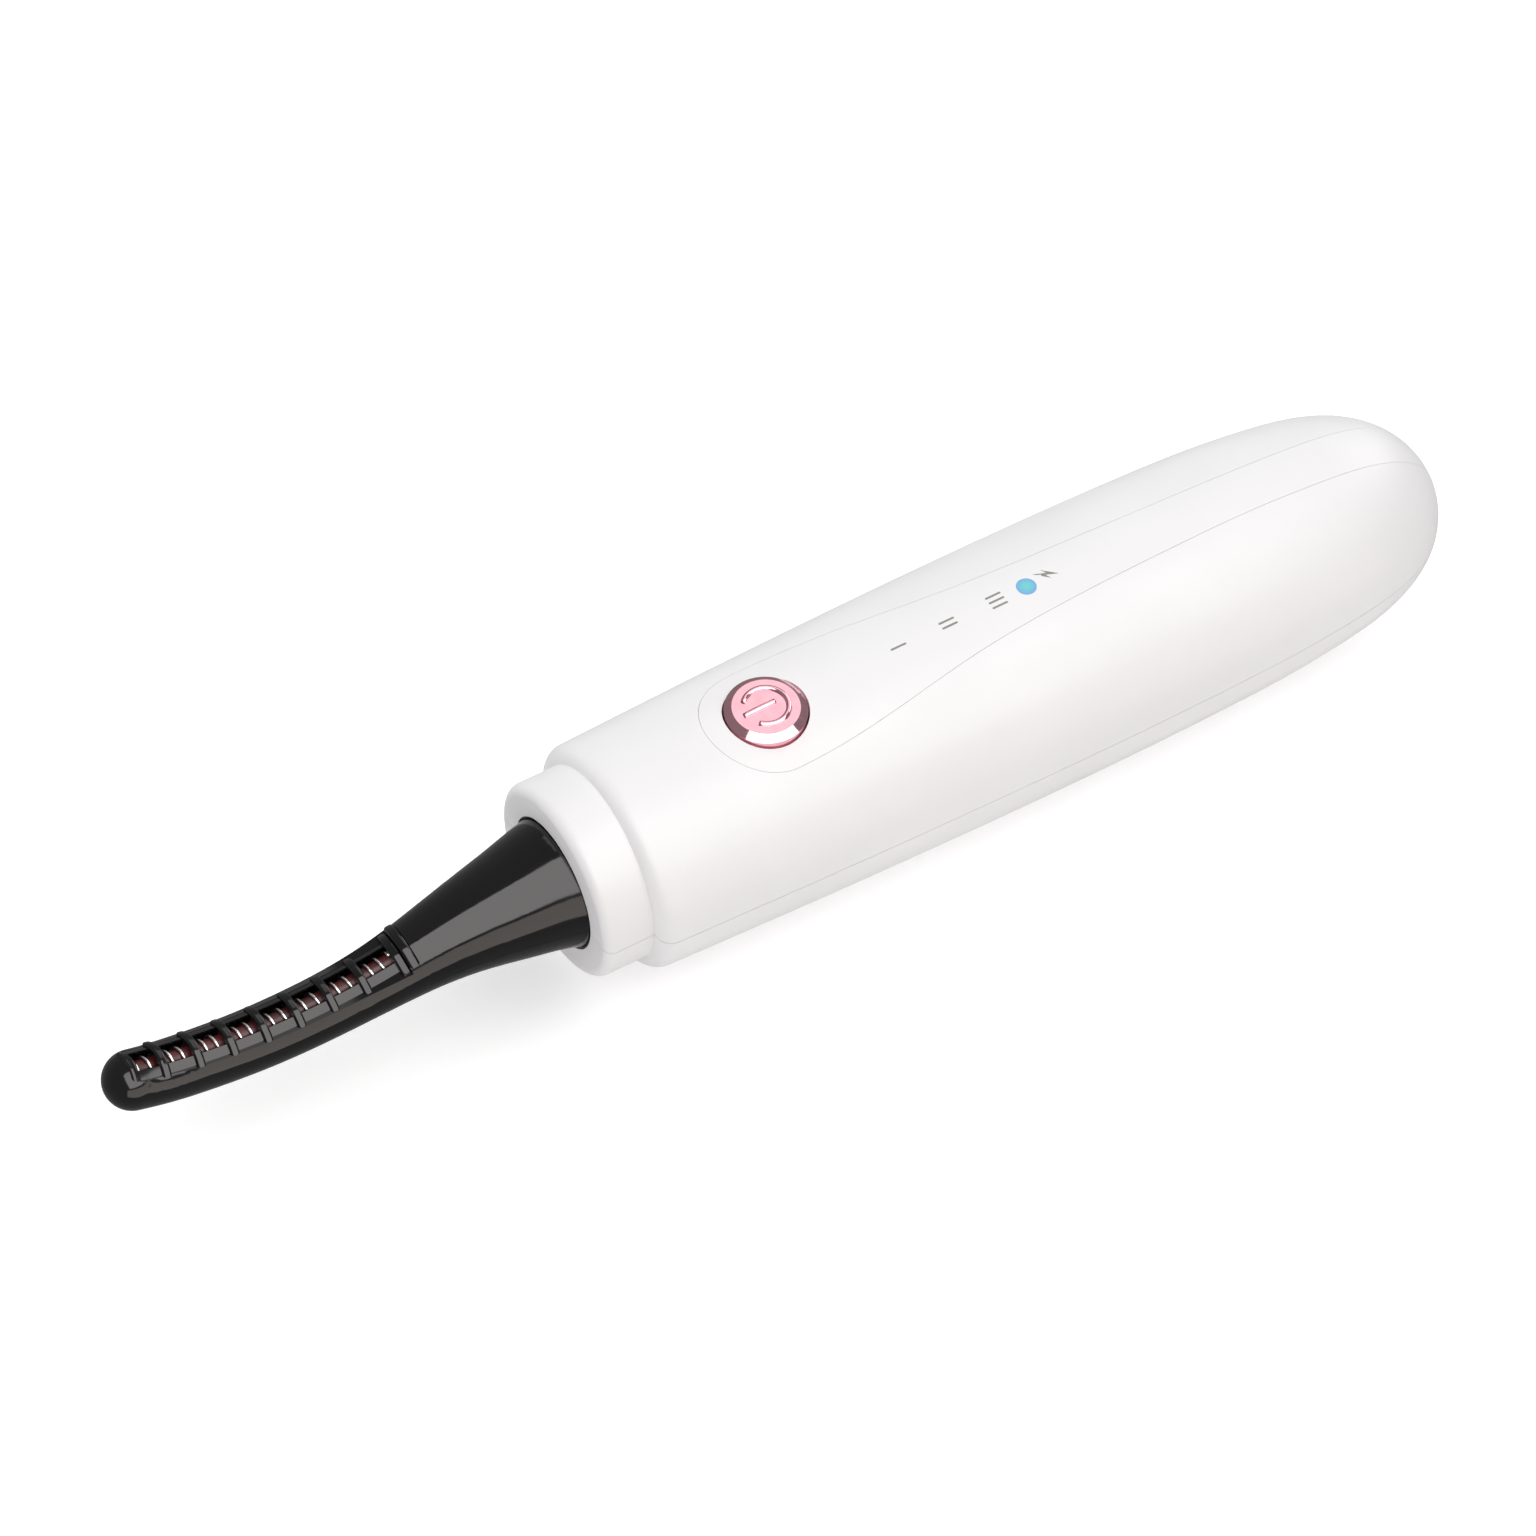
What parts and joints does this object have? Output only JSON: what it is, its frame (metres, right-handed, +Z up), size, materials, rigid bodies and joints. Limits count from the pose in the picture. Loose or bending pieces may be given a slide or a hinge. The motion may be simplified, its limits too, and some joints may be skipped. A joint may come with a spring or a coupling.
{
  "type": "heated eyelash curler",
  "caption": "Rechargeable wand with a curved, ribbed heating comb that warms and curls eyelashes, a push button and an oval handle.",
  "frame": {"origin": "on the resting surface, under the middle of the wand's overall box", "axes": "+X along the handle from the comb head to the tail, +Z up through the power button, so the wand lies on its belly flat"},
  "size_m": [0.14, 0.0246, 0.0227],
  "materials": {
    "white_plastic": "gloss",
    "black_plastic": "gloss",
    "red_insulation": "matte",
    "heater_wire": "drawn wire",
    "ceramic": "matte",
    "lead_jacket": "matte",
    "board": "solder mask",
    "chip": "moulded",
    "chip_ceramic": "fired",
    "screw_steel": "zinc plated",
    "led_body": "clear",
    "light_pipe": "translucent",
    "switch_black": "moulded",
    "switch_white": "moulded",
    "cell_wrap": "shrink wrap",
    "nickel": "rolled",
    "foam": "open cell",
    "socket_steel": "satin",
    "tongue_black": "moulded",
    "rose_chrome": "polished"
  },
  "bodies": {
    "handle": {"upper_housing": "white_plastic", "lower_housing": "white_plastic", "top_panel": "white_plastic", "head_upper": "black_plastic", "head_lower": "black_plastic", "comb_guard": "black_plastic", "heating_core": "red_insulation", "heating_coil": "heater_wire", "rear_insulator": "ceramic", "tip_insulator": "ceramic", "heater_leads": "lead_jacket", "battery_leads": "lead_jacket", "charge_leads": "lead_jacket", "main_board": "board", "charge_board": "board", "board_chips": "chip", "board_passives": "chip_ceramic", "board_screws": "screw_steel", "indicator_led": "led_body", "light_pipe": "light_pipe", "switch_body": "switch_black", "battery_cell": "cell_wrap", "battery_tabs": "nickel", "battery_pad": "foam", "usb_socket": "socket_steel", "usb_tongue": "tongue_black"},
    "button": {"power_button": "rose_chrome"},
    "plunger": {"switch_plunger": "switch_white"}
  },
  "joints": [
    {"name": "button_press", "type": "slide", "parent": "handle", "child": "button", "axis": [0, 0, -1], "range_m": [0, 0.0004], "stiffness_N_per_m": 4000},
    {"name": "plunger_press", "type": "slide", "parent": "handle", "child": "plunger", "axis": [0, 0, -1], "range_m": [0, 0.0004]}
  ],
  "couplings": [
    {"joint": "plunger_press", "follows": "button_press", "ratio": 1}
  ]
}
